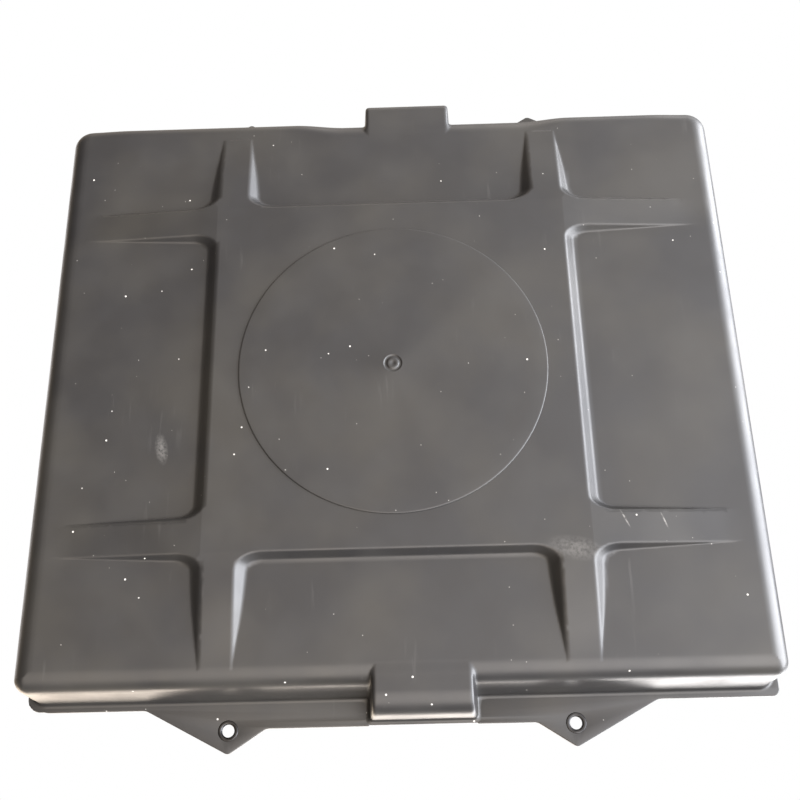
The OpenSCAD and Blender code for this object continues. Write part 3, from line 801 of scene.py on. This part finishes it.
def channelledCorners(inset):
    # The pan's plan outline with both channels, moved inwards
    x, end = pan["halfWidth"] - inset, pan["channelEnd"] - inset
    left = pan["channelX"] - channelTopHalf + inset
    right = pan["channelX"] + channelTopHalf - inset
    half = []
    for wall, corner in ((pan["rear"], pan["rearCorner"]), (-pan["frontTop"], pan["frontCorner"])):
        half.append([(x, wall - inset, corner - inset), (right, wall - inset, 4), (right, end, 3),
                     (left, end, 3), (left, wall - inset, 4), (-x, wall - inset, corner - inset)])
    return half[0] + [(px, -py, r) for px, py, r in reversed(half[1])]


def ringPoints(x, y, radius, count=40):
    return [(x + radius * math.cos(2 * math.pi * i / count), y + radius * math.sin(2 * math.pi * i / count))
            for i in range(count)]


def makeRim():
    holes = [ringPoints(sx * pan["earX"], sy * pan["earY"], pan["eyeletRadius"] - 0.6)
             for sx in (-1, 1) for sy in (-1, 1)]
    outlines = [filletPath(rimCorners(), 12), filletPath(channelledCorners(1.5), 8)] + holes
    platePiece("panRim", outlines, rimZ, pan["top"], 0.7, blackPlastic, body="root", slot="moulded_black")


def makePad():
    # The round pad, with the broken sprue and the ring that the moulding gate left
    radius, high = pan["padRadius"], pan["pad"] + 0.8
    profile = [(0, 0.35), (0.8, 0.3), (1.6, 0.05), (2.3, -0.12), (3.2, -0.18), (4.0, -0.05), (4.4, 0.3),
               (4.7, 0.5), (5.9, 0.5), (6.2, 0.35), (6.5, 0.02), (6.9, -0.1), (7.4, -0.06), (8.2, 0.0),
               (30, 0.0), (70, 0.0), (100, 0.0), (radius - 1.4, 0.0), (radius - 0.7, 0.04),
               (radius - 0.25, 0.2), (radius, 0.55), (radius + 0.1, high), (radius - 5, high), (0, high)]
    vertices, faces = latheRings(profile, 160, (0, pan["shift"]), closed=False)
    piece = newPiece("basePad", vertices, [f[::-1] for f in faces], blackPlastic, slot="moulded_black")
    piece.data.set_sharp_from_angle(angle=math.radians(60))


makePanShell()
makeRim()
makePad()
print("pan ready")


# ---- ear eyelets ----

eyelet = {"bore": 4.25, "tube": 5.0, "flange": 7.0, "curl": 0.55, "proud": 0.25}


def makeEyelets():
    bore, flange, curl, proud = eyelet["bore"], eyelet["flange"], eyelet["curl"], eyelet["proud"]
    low, high = rimZ - proud, pan["top"] + proud
    # the rolled lips are half rounds at both ends of the tube
    profile = [(bore, low + 1.0), (bore, high - 1.0)]
    for end, way in ((high, -1), (low, 1)):
        lip = []
        for k in range(5):
            turn = math.pi / 2 * k / 4
            lip.append((bore + 1.0 - math.cos(turn), end + way * (1 - math.sin(turn))))
        for k in range(7):
            turn = math.pi * (0.5 - k / 6)
            lip.append((flange - curl + curl * math.cos(turn), end + way * (curl - curl * math.sin(turn))))
        lip.append((eyelet["tube"], end + way * 2 * curl))
        profile += lip if way < 0 else lip[::-1]
    vertices, faces = [], []
    for sx in (-1, 1):
        for sy in (-1, 1):
            ring, sides = latheRings(profile, 48, (sx * pan["earX"], sy * pan["earY"]))
            faces += [tuple(i + len(vertices) for i in side) for side in sides]
            vertices += ring
    newPiece("earEyelets", vertices, faces, blackSteel, slot="eyelet_steel", stands=["ear_eyelets"])


makeEyelets()


# ---- pieces that start from their CAD shape, with their edges broken ----

def softCopy(node, edge, material, body, slot, reshape=None):
    # edge is the width in millimetres that each sharp corner is broken by
    source = nodes[node]
    shape = bmesh.new()
    shape.from_mesh(source.data)
    shape.transform(source.matrix_world)
    bmesh.ops.remove_doubles(shape, verts=shape.verts, dist=0.002 * mm)
    bmesh.ops.dissolve_limit(shape, angle_limit=math.radians(0.5), verts=shape.verts, edges=shape.edges)
    if reshape:
        reshape(shape)
    mesh = bpy.data.meshes.new(node + "Soft")
    shape.to_mesh(mesh)
    shape.free()
    carrier = bpy.data.objects.new(node + "Carrier", mesh)
    bpy.context.scene.collection.objects.link(carrier)
    bevel = carrier.modifiers.new("edge", "BEVEL")
    bevel.width = edge * mm
    bevel.segments = 2
    bevel.limit_method = "ANGLE"
    bevel.angle_limit = math.radians(35)
    bevel.use_clamp_overlap = True
    bevel.miter_outer = "MITER_ARC"
    bpy.context.view_layer.update()
    smooth = bpy.data.meshes.new_from_object(carrier.evaluated_get(bpy.context.evaluated_depsgraph_get()))
    bpy.data.objects.remove(carrier)
    smooth.name = node + "Soft"
    piece = bpy.data.objects.new(node + "Soft", smooth)
    bpy.context.scene.collection.objects.link(piece)
    dressPiece(piece, material, body, slot, [node])
    smooth.set_sharp_from_angle(angle=math.radians(32))


# the pipe thread cut on the inlet, 19 turns to the inch
thread = {"radius": 8.3, "depth": 0.8, "pitch": 1.34, "start": 245.9, "end": 252.4,
          "axisX": pan["channelX"], "axisZ": pan["inletZ"]}


def thinShank(shape):
    # The plain outside of the thread shrinks to its root, under the cut thread
    for vertex in shape.verts:
        x, y, z = vertex.co / mm
        out = math.hypot(x - thread["axisX"], z - thread["axisZ"])
        if y > thread["start"] - 0.4 and abs(out - thread["radius"]) < 0.1:
            share = (thread["radius"] - thread["depth"] - 0.05) / out
            vertex.co.x = (thread["axisX"] + (x - thread["axisX"]) * share) * mm
            vertex.co.z = (thread["axisZ"] + (z - thread["axisZ"]) * share) * mm


def makeThread():
    turns, segments = thread["pitch"] / 8, 96
    rows = int((thread["end"] - thread["start"]) / turns)
    vertices, faces = [], []
    for row in range(rows + 1):
        y = thread["start"] + row * turns
        ends = min(1, row / 6, (rows - row) / 6)
        for i in range(segments):
            phase = (y / thread["pitch"] - i / segments) % 1
            crest = min(1, max(0, 1.5 - abs(phase - 0.5) * 4))
            radius = thread["radius"] - thread["depth"] * (1 - crest * ends)
            turn = 2 * math.pi * i / segments
            x = thread["axisX"] + radius * math.cos(turn)
            z = thread["axisZ"] + radius * math.sin(turn)
            vertices.append((x, y, z))
    for row in range(rows):
        for i in range(segments):
            j = (i + 1) % segments
            a, b = row * segments, (row + 1) * segments
            faces.append((a + i, b + i, b + j, a + j))
    newPiece("inletThread", vertices, faces, acetal, slot="valve_acetal")


softPieces = {
    # node: (broken edge in mm, material, body, slot)
    "valve_body": (0.4, acetal, "root", "valve_acetal"),
    "back_nut": (0.6, acetal, "root", "valve_acetal"),
    "inner_washer": (0.3, rubber, "root", "seal_rubber"),
    "outer_washer": (0.3, rubber, "root", "seal_rubber"),
    "inlet_filter": (0.2, stainless, "root", "stainless"),
    "valve_seat": (0.3, brass, "root", "brass"),
    "seat_ring": (0.2, rubber, "root", "seal_rubber"),
    "valve_plunger": (0.3, acetal, "plunger", "valve_acetal"),
    "plunger_seal": (0.2, rubber, "plunger", "seal_rubber"),
    "pivot_pin": (0.3, stainless, "root", "stainless"),
    "pin_clip": (0.15, stainless, "root", "stainless"),
    "float_arm": (0.5, acetal, "arm", "valve_acetal"),
    "adjust_screw": (0.3, brass, "arm", "brass"),
    "adjust_nut": (0.25, brass, "arm", "brass"),
    "float_nut": (0.3, brass, "arm", "brass"),
    "float_base": (0.8, floatBlue, "arm", "float_plastic"),
    "float_lid": (0.8, floatBlue, "arm", "float_plastic"),
    "valve_guard": (0.45, galvanised, "guard", "galvanised_steel"),
}
for node, row in softPieces.items():
    softCopy(node, *row, thinShank if node == "valve_body" else None)
makeThread()
print("valve, float and guard ready")
